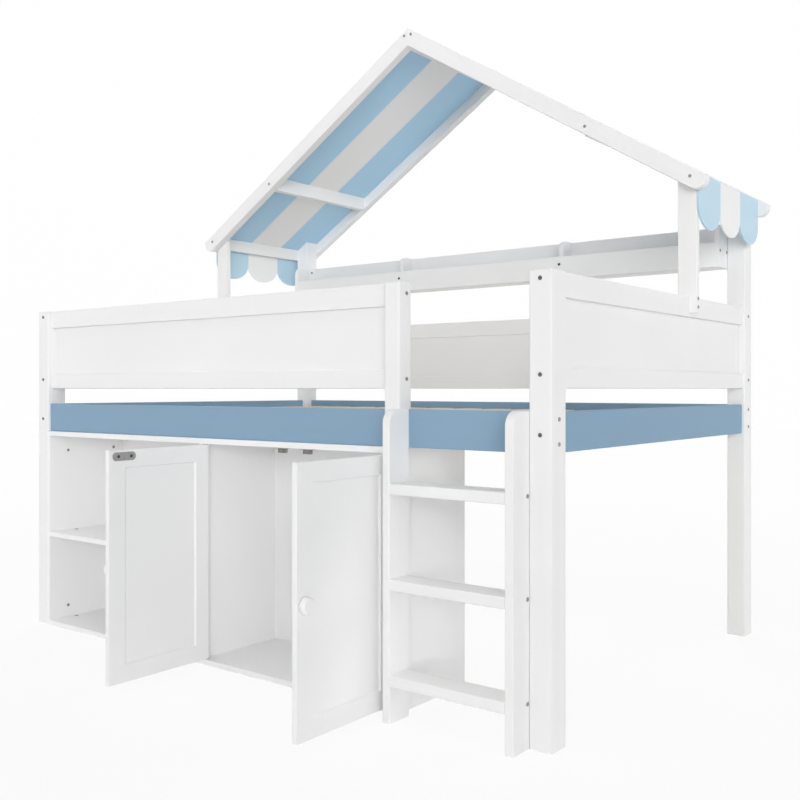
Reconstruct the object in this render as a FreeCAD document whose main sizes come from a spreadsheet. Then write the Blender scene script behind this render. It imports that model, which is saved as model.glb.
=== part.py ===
import FreeCAD, Part
import math
import os
import Sketcher

# Loft bed with a house roof, a side ladder and a low cabinet under the mattress.
# Millimetres. X runs along the bed, Y from the ladder side to the back, Z up from the floor.
# The origin is on the floor, in the middle of the whole piece with both doors open.

SIZES = {
    # corner posts
    "bed_length": 2010,
    "bed_width": 1358,
    "post_wide": 58,
    "post_deep": 68,
    "post_round": 5,
    # guards above the mattress
    "guard_high": 265,
    "guard_above_rail": 52,
    "top_rail_high": 58,
    "low_rail_high": 50,
    "rail_thick": 25,
    "side_set_back": 17,
    "end_set_back": 8,
    "panel_thick": 10,
    "panel_inset": 10,
    "groove_deep": 8,
    "panel_play": 0.3,
    "edge_round": 3,
    "edge_ease": 2,
    # painted bed rails and what they carry
    "bed_rail_bottom": 662,
    "bed_rail_high": 94,
    "bed_rail_set_back": 10,
    "slat_drop": 26,
    "slat_thick": 18,
    "slat_wide": 70,
    "slat_play": 2,
    "ledge_side": 25,
    "beam_thick": 30,
    # ladder
    "ladder_opening": 367,
    "ladder_post_wide": 48,
    "ladder_post_deep": 50,
    "ladder_post_lap": 60,
    "stile_thick": 22,
    "stile_deep": 77.5,
    "stile_rise": 2,
    "stile_round": 34,
    "rung_thick": 27,
    "rung_deep": 75.5,
    "rung_first": 90,
    "rung_step": 231,
    # roof
    "eave_up": 341,
    "roof_high": 651.5,
    "tail_beyond": 52,
    "rafter_rise": 61,
    "rafter_thick": 34,
    "tail_round": 30,
    "tail_top_round": 8,
    "tail_flat": 5,
    "gable_in": 795,
    "roof_post_wide": 57,
    "roof_post_thick": 22,
    "roof_post_proud": 14,
    "tongue_long": 46,
    "awning_sunk": 5,
    "awning_thick": 12,
    "awning_joint": 0.5,
    "ridge_bar_wide": 60,
    "mid_bar_in": 327.5,
    "mid_bar_wide": 34,
    "eave_bar_beyond": 4,
    "eave_bar_wide": 22,
    "bar_high": 40,
    "valance_thick": 6,
    "valance_drop": 4.7,
    "valance_high": 154,
    "scallop_high": 66,
    # display shelf on the back posts
    "shelf_below_eave": 44.5,
    "shelf_high": 139,
    "shelf_deep": 96,
    "shelf_board": 16,
    "shelf_over_post": 24,
    "lip_high": 81,
    "shelf_part_at": 365,
    "shelf_corner": 26,
    # cabinet
    "cabinet_to_ladder": 7,
    "cabinet_deep": 304,
    "cabinet_proud": 4,
    "cabinet_board": 16,
    "wardrobe_wide": 704,
    "cabinet_back": 5,
    "cabinet_shelf_top": 318,
    "board_round": 1.5,
    # cabinet doors
    "door_thick": 15,
    "door_gap": 2,
    "door_lift": 2.5,
    "door_stile": 55,
    "door_rail": 50,
    "door_field_sunk": 4.5,
    "door_field_slope": 3.5,
    "door_round": 1.5,
    "pin_radius": 4,
    "pin_in_door": 22,
    "pin_in_board": 10,
    "pin_end_play": 1,
    "pin_fit": 0.05,
    "knob_radius": 20,
    "knob_neck_radius": 12,
    "knob_neck_long": 4,
    "knob_long": 17,
    "knob_slope": 4,
    "knob_from_edge": 24,
    "knob_up": 323,
    "plate_long": 74,
    "plate_high": 23,
    "plate_thick": 1.5,
    "plate_round": 11,
    "plate_from_edge": 11,
    "plate_from_top": 6,
    "catch_long": 46,
    "catch_deep": 15,
    "catch_high": 15,
    "catch_play": 0.5,
    "catch_apart": 24,
    "catch_ear_long": 12,
    "catch_ear_thick": 3,
}
SLAT_COUNT = 14
RUNG_COUNT = 3
STRIPE_COUNT = 3
TOUCHING = 0.01

doc = FreeCAD.newDocument("loft_bed")
sheet = doc.addObject("Spreadsheet::Sheet", "sizes")
for row, (alias, value) in enumerate(SIZES.items(), start=1):
    sheet.set(f"A{row}", alias.replace("_", " "))
    sheet.set(f"B{row}", str(value))
    sheet.setAlias(f"B{row}", alias)
doc.recompute()

# Places worked out from the sizes.
PLACES = {
    "inner_x": "sizes.bed_length / 2 - sizes.post_wide",
    "door_leaf": "(sizes.wardrobe_wide - sizes.door_gap) / 2 - sizes.door_gap - sizes.door_thick / 2",
    "door_reach": "places.door_leaf - sizes.door_thick / 2 + sizes.cabinet_proud",
    "front_y": "(places.door_reach - sizes.bed_width - sizes.rafter_thick) / 2",
    "back_y": "places.front_y + sizes.bed_width",
    "bed_rail_top": "sizes.bed_rail_bottom + sizes.bed_rail_high",
    "guard_bottom": "places.bed_rail_top + sizes.guard_above_rail",
    "guard_top": "places.guard_bottom + sizes.guard_high",
    "rail_front_y": "places.front_y + sizes.bed_rail_set_back",
    "rail_back_y": "places.back_y - sizes.bed_rail_set_back",
    "slat_top": "places.bed_rail_top - sizes.slat_drop",
    "slat_bottom": "places.slat_top - sizes.slat_thick",
    "ladder_left_x": "places.inner_x - sizes.ladder_opening",
    "ladder_post_x": "places.ladder_left_x - sizes.ladder_post_wide",
    "stile_y": "places.rail_front_y - sizes.stile_deep",
    "tail_tip": "places.guard_top + sizes.eave_up",
    "apex_top": "places.tail_tip + sizes.roof_high",
    "tail_reach": "sizes.bed_length / 2 + sizes.tail_beyond",
    "slope": "sizes.roof_high / places.tail_reach",
    "tail_room": "(sizes.rafter_rise - sizes.tail_flat) * (sqrt(1 + places.slope ^ 2) - places.slope)",
    "gable_y": "places.front_y + sizes.gable_in",
    "bay_y": "places.gable_y + sizes.rafter_thick",
    "bay_wide": "places.back_y - places.bay_y",
    "stripe_wide": f"places.bay_wide / {STRIPE_COUNT}",
    "awning_top": "places.apex_top - sizes.awning_sunk",
    "awning_under": "places.awning_top - sizes.awning_thick",
    "eave_bar_at": "sizes.bed_length / 2 + sizes.eave_bar_beyond",
    "mid_bar_at": "places.eave_bar_at - sizes.mid_bar_in",
    "eave_bar_x": "places.eave_bar_at - sizes.eave_bar_wide / 2",
    "eave_bar_bottom": "places.awning_under - places.slope * places.eave_bar_at - sizes.bar_high",
    "valance_x": "places.eave_bar_at + sizes.eave_bar_wide / 2",
    "valance_top": "places.awning_top - places.slope * places.valance_x - sizes.valance_drop",
    "valance_bottom": "places.valance_top - sizes.valance_high",
    "shelf_bottom": "places.eave_bar_bottom - sizes.shelf_below_eave - sizes.shelf_high",
    "shelf_back_y": "places.back_y - sizes.post_deep + sizes.shelf_over_post",
    "shelf_y": "places.shelf_back_y - sizes.shelf_deep",
    "cabinet_x": "-places.inner_x",
    "cabinet_y": "places.front_y - sizes.cabinet_proud",
    "cabinet_long": "places.ladder_left_x - sizes.cabinet_to_ladder - places.cabinet_x",
    "wardrobe_right_x": "places.cabinet_x + places.cabinet_long - sizes.cabinet_board",
    "wardrobe_left_x": "places.wardrobe_right_x - sizes.wardrobe_wide",
    "wardrobe_mid_x": "places.wardrobe_right_x - sizes.wardrobe_wide / 2",
    "hinge_y": "places.cabinet_y + sizes.door_thick / 2",
    "hinge_in": "sizes.door_gap + sizes.door_thick / 2",
    "door_bottom": "sizes.cabinet_board + sizes.door_lift",
    "door_high": "sizes.bed_rail_bottom - 2 * (sizes.cabinet_board + sizes.door_lift)",
    "cabinet_under_top": "sizes.bed_rail_bottom - sizes.cabinet_board",
}
places = doc.addObject("App::VarSet", "places")
for name, expression in PLACES.items():
    places.addProperty("App::PropertyFloat", name)
    places.setExpression(name, expression)
    doc.recompute()

nodes = []


def placed(item, corner):
    """Bind an object's place to three expressions."""
    for axis, expression in zip("xyz", corner):
        item.setExpression(f"Placement.Base.{axis}", expression)


def sized(item, **expressions):
    """Bind named measures of an object to expressions."""
    for measure, expression in expressions.items():
        item.setExpression(measure, expression)


def handed(side, inner, wide):
    """Low X of a piece that starts at inner and runs outwards by wide, on the left or the right."""
    return inner if side == "right" else f"-({inner}) - ({wide})"


def board(label, corner, size):
    """A sawn board as a body: its low corner and its sizes along X, Y and Z."""
    body = doc.addObject("PartDesign::Body", label)
    blank = body.newObject("PartDesign::AdditiveBox", label + "_blank")
    sized(blank, Length=size[0], Width=size[1], Height=size[2])
    placed(body, corner)
    return body


def origin_plane(body, role):
    return next(plane for plane in body.Origin.OriginFeatures if plane.Role == role)


def sketched(body, role, points):
    """A closed straight-sided sketch whose corners are pairs of expressions."""
    sketch = body.newObject("Sketcher::SketchObject", body.Label + "_outline")
    sketch.AttachmentSupport = [(origin_plane(body, role), "")]
    sketch.MapMode = "FlatFace"
    values = [[float(places.evalExpression(expression)) for expression in point] for point in points]
    corners = [FreeCAD.Vector(x, y, 0) for x, y in values]
    count = len(corners)
    for index in range(count):
        sketch.addGeometry(Part.LineSegment(corners[index], corners[(index + 1) % count]))
    for index in range(count):
        sketch.addConstraint(Sketcher.Constraint("Coincident", index, 2, (index + 1) % count, 1))
    for index in range(count):
        for way in range(2):
            kind = ("DistanceX", "DistanceY")[way]
            number = sketch.addConstraint(Sketcher.Constraint(kind, -1, 1, index, 1, values[index][way]))
            name = f"{'across' if way == 0 else 'up'}_{index}"
            sketch.renameConstraint(number, name)
            sketch.setExpression(f"Constraints.{name}", points[index][way])
    return sketch


def profile(label, role, points, depth, corner):
    """A board sawn to an outline: sketched on an origin plane and padded towards +X, +Y or +Z."""
    body = doc.addObject("PartDesign::Body", label)
    pad = body.newObject("PartDesign::Pad", label + "_pad")
    pad.Profile = sketched(body, role, points)
    pad.Reversed = role == "XZ_Plane"
    sized(pad, Length=depth)
    placed(body, corner)
    return body


def runs_along(axis):
    """Test for straight edges that run along X, Y or Z."""
    way = FreeCAD.Vector(*(float(letter == axis) for letter in "XYZ"))

    def test(edge):
        ends = [vertex.Point for vertex in edge.Vertexes]
        return len(ends) == 2 and abs((ends[1] - ends[0]).normalize().dot(way)) > 0.999

    return test


def at_top(body):
    """Test for the edges round the top end of a body."""
    doc.recompute()
    level = body.Tip.Shape.BoundBox.ZMax
    return lambda edge: edge.BoundBox.ZMin > level - TOUCHING


def under(body, axis):
    """Test for the edges along X or Y on the underside of a body."""
    doc.recompute()
    level = body.Tip.Shape.BoundBox.ZMin
    along = runs_along(axis)
    return lambda edge: along(edge) and edge.BoundBox.ZMax < level + TOUCHING


def edges_worked(body, kind, wanted, **measures):
    """Round or slope the chosen edges of a body."""
    doc.recompute()
    feature = body.Tip
    names = [f"Edge{number}" for number, edge in enumerate(feature.Shape.Edges, start=1) if wanted(edge)]
    if not names:
        raise ValueError(f"{body.Label}: no edge to work")
    worked = body.newObject(f"PartDesign::{kind}", f"{feature.Name}_{kind.lower()}")
    worked.Base = (feature, names)
    sized(worked, **measures)
    return body


def rounded(body, radius, wanted):
    return edges_worked(body, "Fillet", wanted, Radius=radius)


def eased(body, size, wanted):
    """Take small flats off the chosen edges of a body."""
    return edges_worked(body, "Chamfer", wanted, Size=size)


def cut_from(body, kind, name, corner, **measures):
    """Take a box or a cylinder out of a body and see that it took something."""
    doc.recompute()
    before = body.Shape.Volume
    tool = body.newObject(f"PartDesign::Subtractive{kind}", f"{body.Label}_{name}")
    sized(tool, **measures)
    placed(tool, corner)
    doc.recompute()
    if not body.Shape.Volume < before:
        raise ValueError(f"{body.Label}: {name} removes nothing")
    return body


def grouped(label, members):
    """Like pieces that share one node."""
    group = doc.addObject("Part::Compound", label)
    group.Links = members
    return group


def keep(piece):
    nodes.append(piece)
    return piece


# Corner posts: the front pair stops at the guards, the back pair runs on up to the roof,
# cut to the slope and notched for the eave bar.
for side in ("left", "right"):
    x = handed(side, "places.inner_x", "sizes.post_wide")
    front = board(f"front_post_{side}", (x, "places.front_y", "0"),
                  ("sizes.post_wide", "sizes.post_deep", "places.guard_top"))
    rounded(front, "sizes.post_round", runs_along("Z"))
    keep(eased(front, "sizes.edge_ease", at_top(front)))

for side, sign in (("left", "-1"), ("right", "1")):
    outer = "sizes.bed_length / 2"
    back = profile(f"back_post_{side}", "XZ_Plane", [
        (f"{sign} * places.inner_x", "0"),
        (f"{sign} * {outer}", "0"),
        (f"{sign} * {outer}", "places.eave_bar_bottom"),
        (f"{sign} * places.eave_bar_x", "places.eave_bar_bottom"),
        (f"{sign} * places.eave_bar_x", "places.awning_under - places.slope * places.eave_bar_x"),
        (f"{sign} * places.inner_x", "places.awning_under - places.slope * places.inner_x"),
    ], "sizes.post_deep", ("0", "places.back_y - sizes.post_deep", "0"))
    tall = float(places.evalExpression("places.guard_top"))
    long_upright = runs_along("Z")
    keep(rounded(back, "sizes.post_round", lambda edge: long_upright(edge) and edge.Length > tall))

# Ladder post: a shorter post that stands on the front bed rail, laps over its face and ends the front guard.
post = board("ladder_post", ("places.ladder_post_x", "places.front_y",
                             "places.bed_rail_top - sizes.ladder_post_lap"),
             ("sizes.ladder_post_wide", "sizes.ladder_post_deep",
              "places.guard_top - places.bed_rail_top + sizes.ladder_post_lap"))
rounded(post, "sizes.post_round", runs_along("Z"))
eased(post, "sizes.edge_ease", at_top(post))
keep(cut_from(post, "Box", "rail_notch", ("0", "sizes.bed_rail_set_back", "0"),
              Length="sizes.ladder_post_wide",
              Width="sizes.ladder_post_deep - sizes.bed_rail_set_back", Height="sizes.ladder_post_lap"))


def guard(name, along, x, y, length, outer_first):
    """Top rail, low rail and a panel held in their grooves. Rails run along X or Y."""
    across = "Y" if along == "X" else "X"

    def section(thick, high):
        return (length, thick, high) if along == "X" else (thick, length, high)

    def shifted(corner, shift):
        moved = list(corner)
        moved["XYZ".index(across)] += f" + {shift}"
        return tuple(moved)

    inset = "sizes.panel_inset"
    if not outer_first:
        inset = "sizes.rail_thick - sizes.panel_inset - sizes.panel_thick"
    rails = (("top_rail", "places.guard_top - sizes.top_rail_high", "sizes.top_rail_high", "0"),
             ("low_rail", "places.guard_bottom", "sizes.low_rail_high",
              "sizes.low_rail_high - sizes.groove_deep"))
    for part, z, high, groove_z in rails:
        rail = board(f"{name}_{part}", (x, y, z), section("sizes.rail_thick", high))
        rounded(rail, "sizes.edge_round", runs_along(along))
        slot = section("sizes.panel_thick + 2 * sizes.panel_play", "sizes.groove_deep")
        keep(cut_from(rail, "Box", "groove", shifted(("0", "0", groove_z), f"{inset} - sizes.panel_play"),
                      Length=slot[0], Width=slot[1], Height=slot[2]))
    low = "places.guard_bottom + sizes.low_rail_high - sizes.groove_deep + sizes.panel_play"
    high = "places.guard_top - sizes.top_rail_high + sizes.groove_deep - sizes.panel_play"
    keep(board(f"{name}_panel", shifted((x, y, low), inset),
               section("sizes.panel_thick", f"{high} - ({low})")))


# Guards on all four sides: the front one leaves the ladder opening free.
guard("front_guard", "X", "-places.inner_x", "places.front_y + sizes.side_set_back",
      "places.inner_x + places.ladder_post_x", True)
guard("back_guard", "X", "-places.inner_x", "places.back_y - sizes.side_set_back - sizes.rail_thick",
      "2 * places.inner_x", False)
END_LENGTH = "sizes.bed_width - 2 * sizes.post_deep"
for side in ("left", "right"):
    x = handed(side, "sizes.bed_length / 2 - sizes.end_set_back - sizes.rail_thick", "sizes.rail_thick")
    guard(f"{side}_guard", "Y", x, "places.front_y + sizes.post_deep", END_LENGTH, side == "left")

# Painted bed rails between the posts.
for name, y in (("front", "places.rail_front_y"), ("back", "places.rail_back_y - sizes.rail_thick")):
    rail = board(f"{name}_bed_rail", ("-places.inner_x", y, "sizes.bed_rail_bottom"),
                 ("2 * places.inner_x", "sizes.rail_thick", "sizes.bed_rail_high"))
    keep(rounded(rail, "sizes.edge_round", runs_along("X")))
for side in ("left", "right"):
    x = handed(side, "sizes.bed_length / 2 - sizes.bed_rail_set_back - sizes.rail_thick", "sizes.rail_thick")
    rail = board(f"{side}_bed_rail", (x, "places.front_y + sizes.post_deep", "sizes.bed_rail_bottom"),
                 ("sizes.rail_thick", END_LENGTH, "sizes.bed_rail_high"))
    keep(rounded(rail, "sizes.edge_round", runs_along("Y")))

# Slats across the bed, on ledges along the long rails and a beam down the middle.
ledges = [
    board("front_ledge", ("-places.inner_x", "places.rail_front_y + sizes.rail_thick",
                          "places.slat_bottom - sizes.ledge_side"),
          ("2 * places.inner_x", "sizes.ledge_side", "sizes.ledge_side")),
    board("back_ledge", ("-places.inner_x", "places.rail_back_y - sizes.rail_thick - sizes.ledge_side",
                         "places.slat_bottom - sizes.ledge_side"),
          ("2 * places.inner_x", "sizes.ledge_side", "sizes.ledge_side")),
]
keep(grouped("slat_ledges", ledges))
BEAM_HALF = "(sizes.bed_length / 2 - sizes.bed_rail_set_back - sizes.rail_thick)"
keep(board("centre_beam", (f"-{BEAM_HALF}", "(places.front_y + places.back_y - sizes.beam_thick) / 2",
                           "sizes.bed_rail_bottom"),
           (f"2 * {BEAM_HALF}", "sizes.beam_thick", "places.slat_bottom - sizes.bed_rail_bottom")))
SLAT_IN = "(sizes.rail_thick + sizes.slat_play)"
slats = []
for number in range(SLAT_COUNT):
    share = f"({number} + 0.5) / {SLAT_COUNT}"
    slat_x = f"-places.inner_x + 2 * places.inner_x * {share} - sizes.slat_wide / 2"
    slat = board(f"slat_{number + 1}", (slat_x, f"places.rail_front_y + {SLAT_IN}", "places.slat_bottom"),
                 ("sizes.slat_wide", f"places.rail_back_y - places.rail_front_y - 2 * {SLAT_IN}",
                  "sizes.slat_thick"))
    slats.append(eased(slat, "sizes.edge_ease", runs_along("Y")))
keep(grouped("slats", slats))

# Ladder: two flat stiles with a large round at the top front corner, and flat rungs between them.
for side, x in (("left", "places.ladder_left_x"), ("right", "places.inner_x - sizes.stile_thick")):
    stile = board(f"ladder_stile_{side}", (x, "places.stile_y", "0"),
                  ("sizes.stile_thick", "sizes.stile_deep", "places.bed_rail_top + sizes.stile_rise"))
    top = float(places.evalExpression("places.bed_rail_top + sizes.stile_rise"))
    along_x = runs_along("X")
    rounded(stile, "sizes.stile_round",
            lambda edge: along_x(edge) and edge.CenterOfMass.z > top / 2 and edge.CenterOfMass.y < 1)
    keep(eased(stile, "sizes.edge_ease",
               lambda edge: edge.CenterOfMass.y < TOUCHING and runs_along("Z")(edge)))
rungs = []
for number in range(RUNG_COUNT):
    rung = board(f"rung_{number + 1}", (
        "places.ladder_left_x + sizes.stile_thick", "places.stile_y",
        f"sizes.rung_first + {number} * sizes.rung_step"),
        ("sizes.ladder_opening - 2 * sizes.stile_thick", "sizes.rung_deep", "sizes.rung_thick"))
    rungs.append(eased(rung, "sizes.edge_ease", runs_along("X")))
keep(grouped("ladder_rungs", rungs))

# Front roof posts: flat boards on the end guards, each with a tongue lapped over the rail's outer face
# and a notched top that takes the eave bar.
for side, sign in (("left", "-1"), ("right", "1")):
    outer = "(sizes.bed_length / 2 + sizes.roof_post_proud)"
    inner = f"({outer} - sizes.roof_post_wide)"
    rail_face = "(sizes.bed_length / 2 - sizes.end_set_back)"
    roof_post = profile(f"roof_post_{side}", "XZ_Plane", [
        (f"{sign} * {inner}", "places.guard_top"),
        (f"{sign} * {rail_face}", "places.guard_top"),
        (f"{sign} * {rail_face}", "places.guard_top - sizes.tongue_long"),
        (f"{sign} * {outer}", "places.guard_top - sizes.tongue_long"),
        (f"{sign} * {outer}", "places.eave_bar_bottom"),
        (f"{sign} * places.eave_bar_x", "places.eave_bar_bottom"),
        (f"{sign} * places.eave_bar_x", "places.awning_under - places.slope * places.eave_bar_x"),
        (f"{sign} * {inner}", f"places.awning_under - places.slope * {inner}"),
    ], "sizes.roof_post_thick", ("0", "places.bay_y", "0"))
    tongue = float(places.evalExpression("sizes.tongue_long"))
    upright = runs_along("Z")
    keep(rounded(roof_post, "sizes.edge_round", lambda edge: upright(edge) and edge.Length > tongue + 1))

# Rafters: two gables, each a pair mitred at the apex with a round tail at the eave.
for gable, y in (("front", "places.gable_y"), ("back", "places.back_y")):
    for side, sign in (("left", "-1"), ("right", "1")):
        rafter = profile(f"{gable}_rafter_{side}", "XZ_Plane", [
            ("0", "places.apex_top"),
            (f"{sign} * places.tail_reach", "places.tail_tip"),
            (f"{sign} * places.tail_reach", "places.tail_tip - sizes.rafter_rise"),
            ("0", "places.apex_top - sizes.rafter_rise"),
        ], "sizes.rafter_thick", ("0", y, "0"))
        tail = float(places.evalExpression("places.tail_tip"))
        along_y = runs_along("Y")
        rounded(rafter, "min(sizes.tail_round; places.tail_room)",
                lambda edge: along_y(edge) and edge.CenterOfMass.z < tail - TOUCHING)
        rounded(rafter, "sizes.tail_top_round",
                lambda edge: along_y(edge) and abs(edge.CenterOfMass.z - tail) < TOUCHING)
        keep(eased(rafter, "sizes.edge_ease",
                   lambda edge: edge.BoundBox.YLength < TOUCHING and edge.BoundBox.XLength > TOUCHING))

# Bars that tie the two gables together and carry the awning boards.
UNDER_RIDGE = "places.awning_under - places.slope * sizes.ridge_bar_wide / 2"
ridge = profile("ridge_bar", "XZ_Plane", [
    ("-sizes.ridge_bar_wide / 2", "places.awning_under - sizes.bar_high"),
    ("sizes.ridge_bar_wide / 2", "places.awning_under - sizes.bar_high"),
    ("sizes.ridge_bar_wide / 2", UNDER_RIDGE),
    ("0", "places.awning_under"),
    ("-sizes.ridge_bar_wide / 2", UNDER_RIDGE),
], "places.bay_wide", ("0", "places.bay_y", "0"))
keep(eased(ridge, "sizes.edge_ease", under(ridge, "Y")))
bars = []
for name in ("mid", "eave"):
    for side, sign in (("left", "-1"), ("right", "1")):
        near = f"(places.{name}_bar_at - sizes.{name}_bar_wide / 2)"
        far = f"(places.{name}_bar_at + sizes.{name}_bar_wide / 2)"
        bottom = f"places.awning_under - places.slope * places.{name}_bar_at - sizes.bar_high"
        bar = profile(f"{name}_bar_{side}", "XZ_Plane", [
            (f"{sign} * {near}", bottom),
            (f"{sign} * {far}", bottom),
            (f"{sign} * {far}", f"places.awning_under - places.slope * {far}"),
            (f"{sign} * {near}", f"places.awning_under - places.slope * {near}"),
        ], "places.bay_wide", ("0", "places.bay_y", "0"))
        bars.append(eased(bar, "sizes.edge_ease", under(bar, "Y")))
keep(grouped("roof_bars", bars))

# Awning boards in stripes down both slopes, and scalloped valance boards on the eave bars.
ALONG_X, ALONG_Y, ALONG_Z = (FreeCAD.Vector(*way) for way in ((1, 0, 0), (0, 1, 0), (0, 0, 1)))
OVAL_LYING = FreeCAD.Rotation(ALONG_Y, ALONG_Z, ALONG_X, "ZXY")
OVAL_UPRIGHT = FreeCAD.Rotation(ALONG_Z, -ALONG_Y, ALONG_X, "ZXY")
awning = {"blue": [], "white": []}
valance = {"blue": [], "white": []}
for number in range(STRIPE_COUNT):
    paint = ("blue", "white")[number % 2]
    y = f"places.bay_y + {number} * places.stripe_wide + sizes.awning_joint / 2"
    wide = "places.stripe_wide - sizes.awning_joint"
    for side, sign in (("left", "-1"), ("right", "1")):
        eave_top = "places.awning_top - places.slope * places.valance_x"
        awning[paint].append(profile(f"awning_{side}_{number + 1}", "XZ_Plane", [
            ("0", "places.awning_top"),
            (f"{sign} * places.valance_x", eave_top),
            (f"{sign} * places.valance_x", f"{eave_top} - sizes.awning_thick"),
            ("0", "places.awning_under"),
        ], wide, ("0", y, "0")))
        x = handed(side, "places.valance_x", "sizes.valance_thick")
        upper = doc.addObject("Part::Box", f"valance_upper_{side}_{number + 1}")
        sized(upper, Length="sizes.valance_thick", Width=wide,
              Height="places.valance_top - places.valance_bottom - sizes.scallop_high")
        placed(upper, (x, y, "places.valance_bottom + sizes.scallop_high"))
        oval = doc.addObject("Part::Ellipse", f"scallop_line_{side}_{number + 1}")
        tall = places.evalExpression(f"sizes.scallop_high - ({wide}) / 2") > 0
        oval.Placement.Rotation = OVAL_UPRIGHT if tall else OVAL_LYING
        sized(oval, MajorRadius=f"max(({wide}) / 2; sizes.scallop_high)",
              MinorRadius=f"min(({wide}) / 2; sizes.scallop_high)")
        placed(oval, (x, f"{y} + ({wide}) / 2", "places.valance_bottom + sizes.scallop_high"))
        scallop = doc.addObject("Part::Extrusion", f"scallop_{side}_{number + 1}")
        scallop.Base = oval
        scallop.DirMode = "Custom"
        scallop.Dir = ALONG_X
        scallop.Solid = True
        sized(scallop, LengthFwd="sizes.valance_thick")
        flap = doc.addObject("Part::Fuse", f"valance_{side}_{number + 1}")
        flap.Base = upper
        flap.Tool = scallop
        flap.Refine = True
        valance[paint].append(flap)
for paint in ("blue", "white"):
    keep(grouped(f"awning_{paint}", awning[paint]))
for paint in ("blue", "white"):
    keep(grouped(f"valance_{paint}", valance[paint]))

# Display shelf between the back posts: a tray with a front lip, round-shouldered ends and two dividers.
SHELF_HALF = "(places.inner_x - sizes.shelf_board)"
shelf_back = board("shelf_back", (f"-{SHELF_HALF}", "places.shelf_back_y - sizes.shelf_board",
                                  "places.shelf_bottom"),
                   (f"2 * {SHELF_HALF}", "sizes.shelf_board", "sizes.shelf_high"))
keep(rounded(shelf_back, "sizes.edge_round", runs_along("X")))
keep(board("shelf_base", (f"-{SHELF_HALF}", "places.shelf_y + sizes.shelf_board", "places.shelf_bottom"),
           (f"2 * {SHELF_HALF}", "sizes.shelf_deep - 2 * sizes.shelf_board", "sizes.shelf_board")))
lip = board("shelf_lip", (f"-{SHELF_HALF}", "places.shelf_y", "places.shelf_bottom"),
            (f"2 * {SHELF_HALF}", "sizes.shelf_board", "sizes.lip_high"))
keep(rounded(lip, "sizes.edge_round", runs_along("X")))
uprights = []
for side in ("left", "right"):
    end = board(f"shelf_end_{side}", (handed(side, SHELF_HALF, "sizes.shelf_board"), "places.shelf_y",
                                      "places.shelf_bottom"),
                ("sizes.shelf_board", "sizes.shelf_deep", "sizes.shelf_high"))
    part = board(f"shelf_part_{side}", (
        handed(side, "sizes.shelf_part_at - sizes.shelf_board / 2", "sizes.shelf_board"),
        "places.shelf_y + sizes.shelf_board", "places.shelf_bottom + sizes.shelf_board"),
        ("sizes.shelf_board", "sizes.shelf_deep - 2 * sizes.shelf_board",
         "sizes.shelf_high - sizes.shelf_board"))
    for upright in (end, part):
        along_x = runs_along("X")
        uprights.append(rounded(upright, "sizes.shelf_corner",
                                lambda edge: along_x(edge) and edge.CenterOfMass.y < 1
                                and edge.CenterOfMass.z > 1))
keep(grouped("shelf_uprights", uprights))

# Cabinet: two sides, a divider, base, top, one shelf and a thin back. The base and the top
# are bored for the door pins.
BOARD = "sizes.cabinet_board"
INNER_HIGH = f"places.cabinet_under_top - {BOARD}"
FREE_DEEP = "sizes.cabinet_deep - sizes.cabinet_back"
INNER_LONG = f"places.cabinet_long - 2 * {BOARD}"
HINGES = (("left", "places.wardrobe_left_x + places.hinge_in"),
          ("right", "places.wardrobe_right_x - places.hinge_in"))
cabinet_top = board("cabinet_top", ("places.cabinet_x", "places.cabinet_y", "places.cabinet_under_top"),
                    ("places.cabinet_long", "sizes.cabinet_deep", BOARD))
cabinet_base = board("cabinet_base", (f"places.cabinet_x + {BOARD}", "places.cabinet_y", "0"),
                     (INNER_LONG, "sizes.cabinet_deep", BOARD))
for piece, base_x, bore_z in ((cabinet_top, "places.cabinet_x", "0"),
                              (cabinet_base, f"(places.cabinet_x + {BOARD})",
                               f"{BOARD} - sizes.pin_in_board - sizes.pin_end_play")):
    front_edges = runs_along("X")
    rounded(piece, "sizes.board_round",
            lambda edge: front_edges(edge) and edge.CenterOfMass.y < 1)
    for side, hinge_x in HINGES:
        cut_from(piece, "Cylinder", f"bore_{side}", (f"{hinge_x} - {base_x}", "sizes.door_thick / 2", bore_z),
                 Radius="sizes.pin_radius + sizes.pin_fit",
                 Height="sizes.pin_in_board + sizes.pin_end_play")
    keep(piece)
for label, x, deep, bottom, high in (
        ("cabinet_side_left", "places.cabinet_x", "sizes.cabinet_deep", "0", "places.cabinet_under_top"),
        ("cabinet_divider", f"places.wardrobe_left_x - {BOARD}", FREE_DEEP, BOARD, INNER_HIGH),
        ("cabinet_side_right", "places.wardrobe_right_x", "sizes.cabinet_deep", "0",
         "places.cabinet_under_top")):
    wall = board(label, (x, "places.cabinet_y", bottom), (BOARD, deep, high))
    front_edges = runs_along("Z")
    keep(rounded(wall, "sizes.board_round", lambda edge: front_edges(edge) and edge.CenterOfMass.y < 1))
shelf = board("cabinet_shelf", (f"places.cabinet_x + {BOARD}", "places.cabinet_y",
                                f"sizes.cabinet_shelf_top - {BOARD}"),
              (f"places.wardrobe_left_x - places.cabinet_x - 2 * {BOARD}", FREE_DEEP, BOARD))
along_x = runs_along("X")
keep(rounded(shelf, "sizes.board_round", lambda edge: along_x(edge) and edge.CenterOfMass.y < 1))
keep(board("cabinet_back", (f"places.cabinet_x + {BOARD}", f"places.cabinet_y + {FREE_DEEP}", BOARD),
           (INNER_LONG, "sizes.cabinet_back", INNER_HIGH)))


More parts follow.
